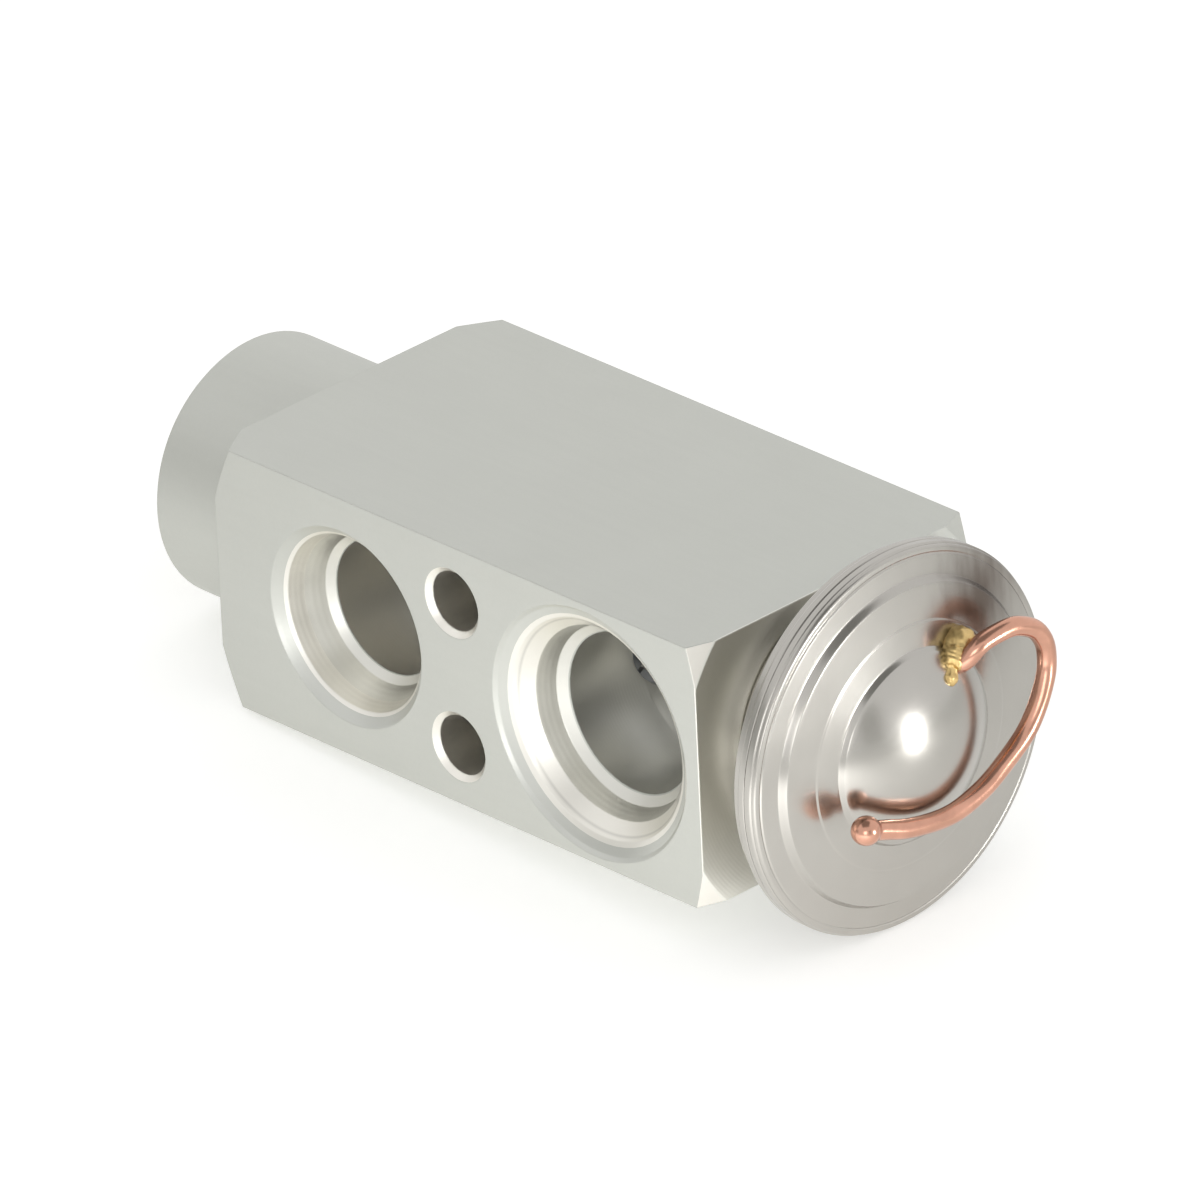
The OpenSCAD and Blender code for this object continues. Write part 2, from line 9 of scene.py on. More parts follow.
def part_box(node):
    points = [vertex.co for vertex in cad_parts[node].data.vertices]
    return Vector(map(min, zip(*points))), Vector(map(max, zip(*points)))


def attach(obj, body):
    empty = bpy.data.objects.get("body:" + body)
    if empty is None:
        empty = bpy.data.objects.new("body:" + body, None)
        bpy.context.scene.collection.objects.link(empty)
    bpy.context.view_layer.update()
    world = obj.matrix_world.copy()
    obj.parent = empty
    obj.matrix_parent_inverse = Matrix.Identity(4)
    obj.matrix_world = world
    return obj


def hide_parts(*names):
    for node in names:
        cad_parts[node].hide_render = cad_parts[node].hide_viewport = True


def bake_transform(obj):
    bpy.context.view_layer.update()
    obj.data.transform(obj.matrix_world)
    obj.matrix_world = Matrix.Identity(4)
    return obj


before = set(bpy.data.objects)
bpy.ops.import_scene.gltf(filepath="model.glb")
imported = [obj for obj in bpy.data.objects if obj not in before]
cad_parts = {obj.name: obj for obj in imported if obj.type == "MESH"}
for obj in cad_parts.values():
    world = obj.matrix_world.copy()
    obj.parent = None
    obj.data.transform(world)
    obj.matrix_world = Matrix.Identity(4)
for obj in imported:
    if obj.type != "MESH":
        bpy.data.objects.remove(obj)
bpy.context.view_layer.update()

bl_info = {
    "name": "Expansion valve",
    "version": (1, 0, 0),
    "blender": (4, 5, 0),
    "location": "3D View > Sidebar > Expansion valve",
    "description": "Makes the detailed pieces, finishes and stage of a block-type expansion valve",
    "category": "Mesh",
}

MM = 0.001

# Places and radii on the valve axis, in mm, as the CAD source has them
HEAD_FACE = 34.1
SEAM = 41.4
COVER_SEAT = 41.55
DOME_TOP = 48.45
DOME_FOOT_R = 10.2
DOME_BALL_R = 16.61
DOME_CAP_R = 9.75
RIM_R = 20.3
COIL_R = 3.8
WIRE_R = 0.6
SPRING_COILS = 5

# The middles of the ports along the valve axis and of the bolt holes above and below it, in mm
SUCTION_X = 18.8
LIQUID_X = -15.5
REAR_LIQUID_X = -20.3
BOLT_Z = 8.0

# How far the cuts reach from the middles of the ports and the bolt holes, and the suction bore, in mm
SUCTION_CUT_R = 13.6
LIQUID_CUT_R = 10.8
BOLT_CUT_R = 3.85
SUCTION_BORE_R = 8.7

# Distances from the block's middle plane, in mm: just behind the port faces, where the ports' mouths
# end, and the middle and half width of the tapered seats and of the shoulders behind them
SUNK_Y = 18.97
MOUTH_Y = 18.1
SEAT_Y = (14.7, 1.38)
SHOULDER_Y = (13.2, 0.1)

# Where the head's corner facets and its end begin, the height that the facets stay under, and where
# the end's pale colour, lighter at the front as painted light, starts and stops fading toward the rear, in mm
FACET_X = 31.6
END_X = 34.0
FACET_Z = 14.32
END_FADE_Y = (2.0, 10.0)

# The painted shade of a step in the suction ports' lead-in: its radius and the reach of its edge, in mm
LEAD_IN_STEP = (11.45, 0.16)

# How much of the bored colour the ports' walls have, and their tapered seats and suction bores
WALL_PALE = 0.85
SEAT_PALE = 0.45

# The dark streaked patch beside the braze: its middle, its reach, how far its edge is torn and where the
# dome that the patch leaves bare begins, in mm, and how much of the steel it covers
TINT_PLACE = (43.5, 10.8, 12.1)
TINT_REACH = 5.2
TINT_TEAR = 4.0
CLEAN_DOME_X = 44.6
TINT_COVER = 0.9

# The middle and the reach of the two pools of light on the floor, in metres
POOLS = (((0.01, -0.07, -0.02), 0.1), ((0.09, -0.066, -0.023), 0.042))

# The lamps, cloths and sheet around the valve: width, height, place and target, in metres
KEY_LAMP = 0.45, 0.45, (0.78, -0.80, 0.2), (0, 0, 0)
SIDE_LAMP = 0.015, 0.037, (0.1815, 0.046, -0.011), (0.048, -0.003, -0.005)
LEFT_CLOTH = 0.9, 0.35, (-0.46, -0.52, 0.12), (0, 0, 0)
CEILING_CLOTH = 0.8, 0.8, (0.15, -0.1, 0.8), (0.04, 0, 0)
RIGHT_SHEET = 0.15, 0.24, (0.539, -0.095, 0.09), (0.048, 0, 0.09)

# The camera's azimuth, elevation and roll in degrees, what it looks at and how far that is, in metres
CAMERA_TURN = (46.6386, 27.4751, -2.6826)
CAMERA_TARGET = (0.000307, 0.000806, 0.000635)
CAMERA_DISTANCE = 2.01805

# Half the floor's width, the place of the rim's lowest point above it, in mm, and the floor's fall
FLOOR_HALF = 2500
FLOOR_X = 41.5
FLOOR_FALL = 0.0715
FLOOR_CELLS = 9

# The drops of braze, as (angle round the valve axis in degrees, mm outwards from the dome's foot, mm
# below the dome's top, radius in mm)
BRAZE_DROPS = np.array([
    [61.5, -2.6, 2.1, 0.9], [57, -0.6, 3.0, 1.65], [54, 0.9, 3.6, 1.65], [52, 0.2, 2.6, 1.1]])

# The charge tube's route: angle round the valve axis in degrees, mm outwards from the dome's foot,
# and mm below the dome's top
TUBE_ROUTE = np.array([
    [54.5, -1.3, 5.2], [54.5, -1.3, 3.1], [55, -0.6, 1.9], [55, 0.8, 1.15], [52.1, 2.1, 0.85],
    [44.8, 4.2, 0.4], [39.4, 5.2, 0.2], [32.2, 6.0, 0.1], [25.1, 6.1, 0], [18.2, 5.6, 0],
    [11.9, 4.7, -0.1], [2, 3.2, -0.1], [-9.1, 1.5, -0.1], [-23.4, -0.7, -0.15], [-48.7, -2.8, -0.3],
    [-87.1, -3.8, -0.35], [-129.4, -2.8, -0.2], [-147.9, -1.1, 0.15], [-157.9, 0.7, 0.5]])


def linear(code):
    """The linear colour of an sRGB hex code: c / 12.92 below 0.04045, else ((c + 0.055) / 1.055) ^ 2.4."""
    c = np.array([int(code[i:i + 2], 16) for i in (0, 2, 4)]) / 255
    return tuple(float(v) for v in np.where(c <= 0.04045, c / 12.92, ((c + 0.055) / 1.055) ** 2.4))


def colour(name, code, words):
    """A colour setting whose default is an sRGB hex code."""
    return bpy.props.FloatVectorProperty(name=name, description=words, subtype="COLOR", size=3,
                                         min=0, max=1, default=linear(code))


def length(name, mm, words):
    """A length setting, given in mm."""
    return bpy.props.FloatProperty(name=name, description=words, subtype="DISTANCE",
                                   unit="LENGTH", min=0, default=mm * MM)


def share(name, value, words, top=1):
    """A plain number setting."""
    return bpy.props.FloatProperty(name=name, description=words, min=0, max=top, default=value)


# Settings

class BlockSettings(bpy.types.PropertyGroup):
    """The aluminium block's finish."""
    aluminium: colour("Blasted aluminium", "CCCDC7", "Colour of the blasted faces")
    bored: colour("Bored aluminium", "F3F0E8", "Colour inside the bored ports and the bolt holes")
    faced: colour("Faced aluminium", "EFEEE6", "Colour of the turned head end")
    edge: length("Edge round", 0.22, "Radius that the tumbling leaves on the block's edges")
    grain: length("Grain", 0.35, "Width of the blasted grain")
    tool_pitch: length("Tool pitch", 0.38, "Distance between the marks of the turning tool")
    satin: share("Satin", 0.55, "Roughness of the blasted faces")
    turned: share("Turned", 0.38, "Roughness of the ports and the turned head end")


class HeadSettings(bpy.types.PropertyGroup):
    """The power element's covers."""
    stainless: colour("Stainless steel", "B7B4AE", "Colour of the pressed stainless sheet")
    polish: share("Polish", 0.22, "Roughness of the pressed sheet")
    # The colour of the dark brown-grey streaked patch beside the braze
    tint: colour("Heat tint", "5E524A", "Colour of the tint that the torch leaves beside the braze")
    edge: length("Edge round", 0.26, "Radius on the rim's front edge")
    foot: length("Foot fillet", 0.18, "Radius where the dome meets the cover")
    seam: length("Seam depth", 0.05, "Depth of the welded seam around the rim")


class TubeSettings(bpy.types.PropertyGroup):
    """The charge tube and its brazing."""
    copper: colour("Copper", "DAA58E", "Colour of the drawn copper")
    tube: length("Tube diameter", 2.0, "Outer diameter of the charge tube")
    bead: length("Bead diameter", 3.0, "Diameter of the melted ball at its end")
    braze: colour("Braze", "DEC084", "Colour of the brass braze")
    lumps: length("Lumps", 0.13, "Height of the lumps that the melt leaves")


class TrainSettings(bpy.types.PropertyGroup):
    """The finishes of the pieces inside."""
    shaft: colour("Shaft", "C4C5C6", "Colour of the turned aluminium shaft and pad")
    steel: colour("Hard steel", "BFC1C4", "Colour of the ground pin and the ball")
    spring: colour("Spring steel", "8E9094", "Colour of the springs and the retainer")
    brass: colour("Brass", "CDB174", "Colour of the turned brass")
    rubber: colour("Rubber", "23272A", "Colour of the sealing rings")
    washer: colour("Washer", "E6E3DA", "Colour of the back-up washer")


class StageSettings(bpy.types.PropertyGroup):
    """The floor, the light and the camera."""
    floor: colour("Floor", "F6F6F4", "Colour of the pale floor")
    sky: share("Sky", 0.8, "Strength of the room's own light", 4)
    glow: share("Backdrop glow", 0.35, "What the camera sees of the floor beyond its lit colour", 4)
    key: share("Key lamp", 1.5, "Power of the large lamp at the front, in watts", 100)
    side: share("Side lamp", 0.055, "Power of the small lamp beside the head, in watts", 100)
    mirrored: share("Mirrored floor", 0.05, "What shiny surfaces see of the floor beyond its lit colour", 4)
    pool: share("Pool", 0.5, "Extra brightness of the lit floor at the front, in shiny surfaces", 4)
    patch: share("Patch", 1.8, "Extra brightness of the lit patch beside the head, in shiny surfaces", 4)
    cloth: colour("Cloth", "D8D8D6", "Colour of the grey cloth at the front left")
    dark: colour("Dark cloth", "A2A2A0", "Colour of the dark cloth overhead")
    sheet: colour("Sheet", "DDDDDB", "Colour of the pale sheet at the right")
    lens: share("Lens", 611.5, "Focal length of the camera, in mm", 2000)


SETTINGS = {"valve_block": BlockSettings, "valve_head": HeadSettings, "valve_tube": TubeSettings,
            "valve_train": TrainSettings, "valve_stage": StageSettings}


# Shapes

def rounded(points, radii, steps=6):
    """A line of (x, r) points with each corner turned on an arc of its own radius.

    With unit vectors a and b from a corner P to its neighbours and half the angle between them h,
    the arc's centre is P + (a + b) / |a + b| * R / sin h, it touches both sides at R / tan h from P,
    and its points turn evenly from one touching point to the other.
    """
    p, radius = np.asarray(points, float), np.asarray(radii, float)[1:-1, None]
    a, b = p[:-2] - p[1:-1], p[2:] - p[1:-1]
    a, b = (v / np.linalg.norm(v, axis=1, keepdims=True) for v in (a, b))
    half = np.arccos(np.clip((a * b).sum(1, keepdims=True), -1, 1)) / 2
    reach = radius / np.tan(half)
    centre = p[1:-1] + (a + b) / np.linalg.norm(a + b, axis=1, keepdims=True) * radius / np.sin(half)
    turn = math.pi - 2 * half
    start, end = p[1:-1] + a * reach - centre, p[1:-1] + b * reach - centre
    t = np.linspace(0, 1, steps)[None, :, None]
    swing = turn[:, None]
    arcs = (start[:, None] * np.sin((1 - t) * swing) + end[:, None] * np.sin(t * swing)) / np.sin(swing)
    return np.vstack([p[:1], (arcs + centre[:, None]).reshape(-1, 2), p[-1:]])


def filled(line, step):
    """A line with further points set evenly on each stretch that is longer than step."""
    parts = np.maximum(1, np.ceil(np.linalg.norm(np.diff(line, axis=0), axis=1) / step).astype(int))
    index = np.repeat(np.arange(len(parts)), parts)
    first = np.repeat(np.cumsum(parts) - parts, parts)
    t = ((np.arange(parts.sum()) - first) / np.repeat(parts, parts))[:, None]
    return np.vstack([line[index] * (1 - t) + line[index + 1] * t, line[-1:]])


def piece_from_grid(name, grid, ends):
    """A closed mesh over a grid of points (rows, round, 3), which is joined around each row.

    ends is "poles" where the first and last rows are single points, and "ring" where the last row
    joins the first one.
    """
    rows, around = grid.shape[:2]
    step, next_step = np.arange(around), (np.arange(around) + 1) % around
    if ends == "ring":
        i = np.arange(rows)[:, None]
        j = (i + 1) % rows
        points = grid.reshape(-1, 3)
        faces = np.stack(np.broadcast_arrays(i * around + step, i * around + next_step,
                                             j * around + next_step, j * around + step), -1)
        faces = faces.reshape(-1, 4).tolist()
    else:
        inner = grid[1:-1].reshape(-1, 3)
        points = np.vstack([inner, grid[0, :1], grid[-1, :1]])
        i = np.arange(rows - 3)[:, None]
        faces = np.stack(np.broadcast_arrays(i * around + step, i * around + next_step,
                                             (i + 1) * around + next_step, (i + 1) * around + step), -1)
        faces = faces.reshape(-1, 4).tolist()
        top, last = len(inner), (rows - 3) * around
        faces += np.stack([np.full(around, top), next_step, step], -1).tolist()
        faces += np.stack([np.full(around, top + 1), last + step, last + next_step], -1).tolist()
    mesh = bpy.data.meshes.new(name)
    mesh.from_pydata((points * MM).tolist(), [], faces)
    mesh.shade_smooth()
    mesh.update()
    if volume(mesh) < 0:
        mesh.flip_normals()
    piece = bpy.data.objects.new(name, mesh)
    bpy.context.scene.collection.objects.link(piece)
    return piece


def volume(mesh):
    """The volume that a closed mesh holds: the sum of a . (b x c) / 6 over its triangles."""
    mesh.calc_loop_triangles()
    corners = np.empty(len(mesh.loop_triangles) * 3, int)
    mesh.loop_triangles.foreach_get("vertices", corners)
    places = np.empty(len(mesh.vertices) * 3)
    mesh.vertices.foreach_get("co", places)
    a, b, c = places.reshape(-1, 3)[corners.reshape(-1, 3)].transpose(1, 0, 2)
    return (a * np.cross(b, c)).sum() / 6


def turned_piece(name, line, sides, ends):
    """A turned piece on the valve axis: the point (x, r) at angle t stands at (x, r cos t, r sin t)."""
    t = np.linspace(0, 2 * math.pi, sides, endpoint=False)[None, :]
    x, r = line[:, :1], line[:, 1:]
    grid = np.stack(np.broadcast_arrays(x, r * np.cos(t), r * np.sin(t)), -1)
    return piece_from_grid(name, grid, ends)


def upper_cover_line(head):
    """The upper cover's outline from its top to the middle of its underside, as (x, r).

    The dome is a ball cap, x = top - R + sqrt(R^2 - r^2). A fillet and a short steep wall stand at
    its foot. The cover then falls in a step circle, a sloping band and a second step to the rim, which
    has a fine bead at its edge. The side of the rim ends in the welded seam, and the underside
    follows the outside one sheet thickness below it.
    """
    edge, foot, seam = head.edge / MM, head.foot / MM, head.seam / MM
    cap = np.linspace(0, math.asin(DOME_CAP_R / DOME_BALL_R), 46)[:, None]
    middle = DOME_TOP - DOME_BALL_R
    dome = np.hstack([middle + DOME_BALL_R * np.cos(cap), DOME_BALL_R * np.sin(cap)])
    corners = [
        dome[-1] + (-0.001, 0.0005), (45.12, 9.95), (44.56, 10.28), (44.26, 12.80), (44.18, 13.02),
        (43.90, 16.66), (43.15, 17.16), (42.97, 19.22), (42.84, 19.36), (42.89, 19.52),
        (42.86, 20.06), (42.52, 20.12), (42.43, 20.12), (42.34, RIM_R),
        (COVER_SEAT + 0.1, RIM_R), (COVER_SEAT + 0.01, RIM_R - seam),
        (COVER_SEAT + 0.01, 18.1), (41.7, 18.1), (42.2, 17.6), (43.15, 16.3), (43.6, 13.9),
        (43.9, 10.4), (44.15, 9.6), (47.0, 4.0), (DOME_TOP - 0.8, 0)]
    radii = [
        0, 0.25, foot, 0.3, 0.3,
        0.18, 0.18, 0.06, 0.05, 0.06,
        edge, 0.03, 0.03, 0.26,
        0.05, 0.02,
        0.02, 0.02, 0.3, 0.5, 0.5,
        0.5, 0.5, 2, 0]
    line = filled(rounded(corners, radii), 0.3)
    return np.vstack([dome[:-1], line])


def lower_cover_line(head):
    """The lower cover's outline, once round, as (x, r): neck, hub, dish, rim and the pad's room.

    A thin lip at the rim's seam reaches round the diaphragm's edge.
    """
    edge, seam = head.edge / MM, head.seam / MM
    corners = [
        (33, 10), (HEAD_FACE, 10), (HEAD_FACE, 13.5), (36.7, 13.5), (39.0, 19.0), (39.45, 19.5),
        (40.4, 19.6), (40.62, 19.9), (40.62, RIM_R), (SEAM + 0.03, RIM_R),
        (SEAM + 0.12, RIM_R - seam), (SEAM + 0.12, RIM_R - 0.45), (SEAM - 0.02, RIM_R - 0.45),
        (SEAM - 0.02, 18.1), (39.58, 13.0), (38.98, 12.6), (38.98, 7.5), (29.3, 7.5), (29.3, 10),
        (33, 10)]
    radii = [
        0, 0.02, 0.3, 0.8, 0.3, 0.25,
        0.12, 0.1, 0.28, 0.05,
        0.02, 0.01, 0.01,
        0.02, 0.3, 0.1, 0.3, 0.2, 0.3,
        0]
    return filled(rounded(corners, radii), 0.4)[:-1]


def through(points, parts):
    """A smooth curve through points, parts steps to each span.

    Between b and c it is (2b + (c - a)t + (2a - 5b + 4c - d)t^2 + (3b - a - 3c + d)t^3) / 2, with
    a and d the points before and after them, as in the CAD source.
    """
    held = np.vstack([points[:1], points, points[-1:]])
    a, b, c, d = (held[i:len(held) - 3 + i, None] for i in range(4))
    t = np.linspace(0, 1, parts, endpoint=False)[None, :, None]
    bend, twist = 2 * a - 5 * b + 4 * c - d, 3 * b - a - 3 * c + d
    spans = (2 * b + (c - a) * t + bend * t ** 2 + twist * t ** 3) / 2
    return np.vstack([spans.reshape(-1, 3), points[-1:]])


def beside_dome(table):
    """Rows of angle, outwards and depth in space: x = top - depth, and r = foot + outwards at the angle."""
    angle, r = np.radians(table[:, 0]), DOME_FOOT_R + table[:, 1]
    return np.stack([DOME_TOP - table[:, 2], r * np.cos(angle), r * np.sin(angle)], -1)


def tube_grid(tube_r, bead_r):
    """The charge tube's skin: a circle of radius w(s) carried along the route.

    Up to the ball w is the tube's radius, and round the ball it is sqrt(R^2 - s^2), with s from the
    ball's middle. The two meet as (tube^8 + ball^8)^(1/8), which leaves a small neck. The circle
    stands across the route, between two directions got from a fixed one that the route never follows.
    """
    line = through(beside_dome(TUBE_ROUTE), 16)
    run = np.concatenate([[0], np.cumsum(np.linalg.norm(np.diff(line, axis=0), axis=1))])
    total = run[-1]
    turn = np.linspace(math.radians(15), math.pi, 34)
    s = np.concatenate([[0], np.linspace(0, total - bead_r, 250), total - bead_r * np.cos(turn)])
    place = np.stack([np.interp(s, run, line[:, i]) for i in range(3)], -1)
    end = line[-1] - line[-2]
    end /= np.linalg.norm(end)
    place += np.maximum(s - total, 0)[:, None] * end
    along = np.gradient(place, axis=0)
    along[:2] = (1, 0, 0)
    along[s > total - bead_r] = end
    along /= np.linalg.norm(along, axis=1, keepdims=True)
    start = np.radians(TUBE_ROUTE[0, 0])
    fixed = np.array([1, -math.sin(start), math.cos(start)]) / math.sqrt(2)
    side = np.cross(along, fixed)
    side /= np.linalg.norm(side, axis=1, keepdims=True)
    other = np.cross(along, side)
    ball = np.sqrt(np.maximum(bead_r ** 2 - (s - total) ** 2, 0))
    w = np.where(s < total, (tube_r ** 8 + ball ** 8) ** 0.125, ball)
    w[0] = w[-1] = 0
    t = np.linspace(0, 2 * math.pi, 40, endpoint=False)[None, :, None]
    dent = 1 + 0.012 * np.sin(2 * t + s[:, None, None] / 1.7) + 0.008 * np.sin(3 * t - s[:, None, None] / 0.9)
    return place[:, None] + w[:, None, None] * dent * (np.cos(t) * side[:, None] + np.sin(t) * other[:, None])


def braze_grid(lumps):
    """The braze as the ball-like skin of four melted drops.

    In each direction d from the second drop's centre, a drop at c with radius R reaches
    d.c + sqrt((d.c)^2 - |c|^2 + R^2). The drops join as (sum reach^6)^(1/6), and waves of three
    lengths raise the lumps.
    """
    drops = beside_dome(BRAZE_DROPS)
    middle = drops[1]
    up = np.linspace(0, math.pi, 60)[:, None]
    t = np.linspace(0, 2 * math.pi, 96, endpoint=False)[None, :]
    d = np.stack(np.broadcast_arrays(np.cos(up), np.sin(up) * np.cos(t), np.sin(up) * np.sin(t)), -1)
    c = drops - middle
    toward = d @ c.T
    inside = toward ** 2 - (c ** 2).sum(1) + BRAZE_DROPS[:, 3] ** 2
    reach = np.where(inside > 0, toward + np.sqrt(np.maximum(inside, 0)), 0)
    reach = (np.maximum(reach, 0) ** 6).sum(-1) ** (1 / 6)
    x, y, z = np.moveaxis(d * reach[..., None], -1, 0)
    wave = (np.sin(2.9 * x + 1.1) * np.sin(3.3 * y + 0.4) * np.sin(3.1 * z + 2.0)
            + 0.6 * np.sin(5.3 * y - 2.1 * z + 0.7) * np.sin(4.7 * x + 2.9 * z)
            + 0.35 * np.sin(8.9 * z + 3.1 * y) * np.sin(8.1 * y - 4.2 * x + 1.9))
    return middle + d * (reach + lumps * wave)[..., None]


def spring_grid(front, back, first, last):
    """Part of the superheat spring: a circle of wire carried along the coil, as in the CAD source.

    At share t of the coil its middle is at turn SPRING_COILS t round the axis, and its x runs evenly
    from front to back between the flat ends, which take 0.7 turns each. The circle stands across the
    coil, in a plane that holds the valve axis.
    """
    steps = round((last - first) * SPRING_COILS * 48)
    t = np.linspace(first, last, steps + 1)[:, None]
    flat = 0.7 / SPRING_COILS
    run = np.clip((t - flat) / (1 - 2 * flat), 0, 1)
    x = front - WIRE_R + (back - front + 2 * WIRE_R) * run
    a = 2 * math.pi * SPRING_COILS * t
    b = np.linspace(0, 2 * math.pi, 16, endpoint=False)[None, :]
    middle = np.stack([x, COIL_R * np.cos(a), COIL_R * np.sin(a)], -1)
    out = np.stack([0 * a, np.cos(a), np.sin(a)], -1)
    skin = middle + WIRE_R * (np.cos(b)[..., None] * out + np.sin(b)[..., None] * np.array([1, 0, 0]))
    cap = np.broadcast_to(middle, skin.shape)
    return np.concatenate([cap[:1], skin, cap[-1:]])


# Finishes

def feed(tree, made, inputs):
    """Gives sockets of a node that is made their values, or links them to an output or to the first
    output of another node."""
    for name, value in inputs.items():
        if isinstance(value, bpy.types.Node):
            value = value.outputs[0]
        if isinstance(value, bpy.types.NodeSocket):
            tree.links.new(value, made.inputs[name])
        else:
            made.inputs[name].default_value = value


def node(tree, kind, *values, inputs=None, **settings):
    """Adds a node: values feed its first sockets in order, inputs feeds named or numbered ones, and
    settings are the node's own options."""
    made = tree.nodes.new("ShaderNode" + kind)
    for name, value in settings.items():
        setattr(made, name, value)
    feed(tree, made, {**dict(enumerate(values)), **(inputs or {})})
    return made


def new_finish(name, base, metallic, roughness):
    """A material with its shader's constant values set, its tree, its shader and its places in mm."""
    material = bpy.data.materials.new(name)
    material.use_nodes = True
    material.diffuse_color = (*base, 1)
    tree = material.node_tree
    shader = tree.nodes["Principled BSDF"]
    shader.inputs["Base Color"].default_value = (*base, 1)
    shader.inputs["Metallic"].default_value = metallic
    shader.inputs["Roughness"].default_value = roughness
    place = node(tree, "VectorMath", node(tree, "TexCoord").outputs["Object"],
                 inputs={"Scale": 1 / MM}, operation="SCALE")
    return material, tree, shader, place


def blotches(tree, place, size, detail=2.0):
    """Soft blotches about size mm wide, from 0 to 1."""
    return node(tree, "TexNoise", place, inputs={"Scale": 1 / size, "Detail": detail})


def tinted(tree, base, value, low, high):
    """The base colour, darker and lighter with a value from 0 to 1, between low and high times itself."""
    factor = node(tree, "MapRange", value, 0.0, 1.0, low, high)
    return node(tree, "VectorMath", base, inputs={"Scale": factor}, operation="SCALE")


def radius_of(tree, across, above):
    """How far a place lies from an axis: sqrt(across^2 + above^2)."""
    squares = (node(tree, "Math", side, side, operation="MULTIPLY") for side in (across, above))
    return node(tree, "Math", node(tree, "Math", *squares, operation="ADD"), operation="SQRT")


def fade_of(tree, distance, reach):
    """What is left of a spot at a distance from its middle: e^(-(distance / reach)^2)."""
    part = node(tree, "Math", distance, reach, operation="DIVIDE")
    square = node(tree, "Math", part, part, operation="MULTIPLY")
    power = node(tree, "Math", square, -1.0, operation="MULTIPLY")
    return node(tree, "Math", math.e, power, operation="POWER")


def all_of(tree, mask, *masks):
    """The places where every mask is 1: their product."""
    for other in masks:
        mask = node(tree, "Math", mask, other, operation="MULTIPLY")
    return mask


def any_of(tree, mask, *masks):
    """The places where one of the masks is 1: the largest of them."""
    for other in masks:
        mask = node(tree, "Math", mask, other, operation="MAXIMUM")
    return mask


def tool_rings(tree, distance, pitch):
    """The marks of a turning tool: waves of pitch mm along a distance, from 0 to 1."""
    turn = node(tree, "Math", distance, 2 * math.pi / pitch, operation="MULTIPLY")
    wave = node(tree, "Math", turn, operation="SINE")
    return node(tree, "Math", wave, 0.5, 0.5, operation="MULTIPLY_ADD")


def block_masks(tree, place):
    """Where the block was cut after the blasting, worked out from the place in mm.

    Gives the pale cuts from 0 to 1, with a painted highlight on the front corner facets, the head's end,
    all cuts that shine, the ports, how far a place lies from the suction ports, and the way that the turning
    tool went.
    """
    x, y, z = node(tree, "SeparateXYZ", place).outputs
    far_y, far_z = (node(tree, "Math", v, operation="ABSOLUTE") for v in (y, z))

    # Distances from the suction ports, from the liquid port of the nearer face and from the bolt holes
    rear = node(tree, "Math", y, 0.0, operation="GREATER_THAN")
    liquid_x = node(tree, "Math", rear, REAR_LIQUID_X - LIQUID_X, LIQUID_X, operation="MULTIPLY_ADD")
    suction = radius_of(tree, node(tree, "Math", x, SUCTION_X, operation="SUBTRACT"), z)
    liquid = radius_of(tree, node(tree, "Math", x, liquid_x, operation="SUBTRACT"), z)
    bolt = radius_of(tree, x, node(tree, "Math", far_z, BOLT_Z, operation="SUBTRACT"))

    sunk = node(tree, "Math", far_y, SUNK_Y, operation="LESS_THAN")
    port = any_of(tree, node(tree, "Math", suction, SUCTION_CUT_R, operation="LESS_THAN"),
                  node(tree, "Math", liquid, LIQUID_CUT_R, operation="LESS_THAN"))
    port = all_of(tree, port, sunk)
    hole = all_of(tree, node(tree, "Math", bolt, BOLT_CUT_R, operation="LESS_THAN"), sunk)
    end = node(tree, "Math", x, END_X, operation="GREATER_THAN")
    front = node(tree, "Math", y, 0.0, operation="LESS_THAN")
    # Only the front corner facets take the pale colour and shine, a painted highlight; the rear ones stay
    # blasted
    painted_highlight_facet = all_of(tree, node(tree, "Math", x, FACET_X, operation="GREATER_THAN"),
                   node(tree, "Math", far_z, FACET_Z, operation="LESS_THAN"), sunk, front)

    # Behind their mouths the ports are pale, less so in the suction bores and the tapered seats. Their
    # mouths and shoulders are as dull as the faces. The pale walls and bolt holes are partly the bored
    # finish and partly painted light, standing in for the light that reaches deep into them
    shoulder = node(tree, "Math", far_y, *SHOULDER_Y, operation="COMPARE")
    behind = node(tree, "Math", far_y, MOUTH_Y, operation="LESS_THAN")
    walls = node(tree, "Math", behind, shoulder, operation="SUBTRACT")
    half = any_of(tree, node(tree, "Math", suction, SUCTION_BORE_R, operation="LESS_THAN"),
                  node(tree, "Math", far_y, *SEAT_Y, operation="COMPARE"))
    depth = node(tree, "Math", half, SEAT_PALE - WALL_PALE, WALL_PALE, operation="MULTIPLY_ADD")
    walls = all_of(tree, walls, depth)
    pale = any_of(tree, all_of(tree, port, walls), hole, painted_highlight_facet)

    ringed = all_of(tree, port, node(tree, "Math", 1.0, shoulder, operation="SUBTRACT"))
    cut = any_of(tree, ringed, hole, painted_highlight_facet, end)

    # The tool went inwards in the ports, and outwards from the valve axis on the head's end
    nearest = node(tree, "Math", suction, liquid, operation="MINIMUM")
    inwards = node(tree, "Math", nearest, far_y, operation="SUBTRACT")
    outwards = node(tree, "Math", radius_of(tree, y, z), x, operation="ADD")
    way = node(tree, "Mix", port, inputs={2: outwards, 3: inwards})

    # The head's end keeps its faced colour at the front and turns to the blasted colour toward the rear:
    # painted light, lighter at the front
    painted_end_light = node(tree, "MapRange", y, *END_FADE_Y, 1.0, 0.0)
    return pale, all_of(tree, end, painted_end_light), cut, port, suction, way


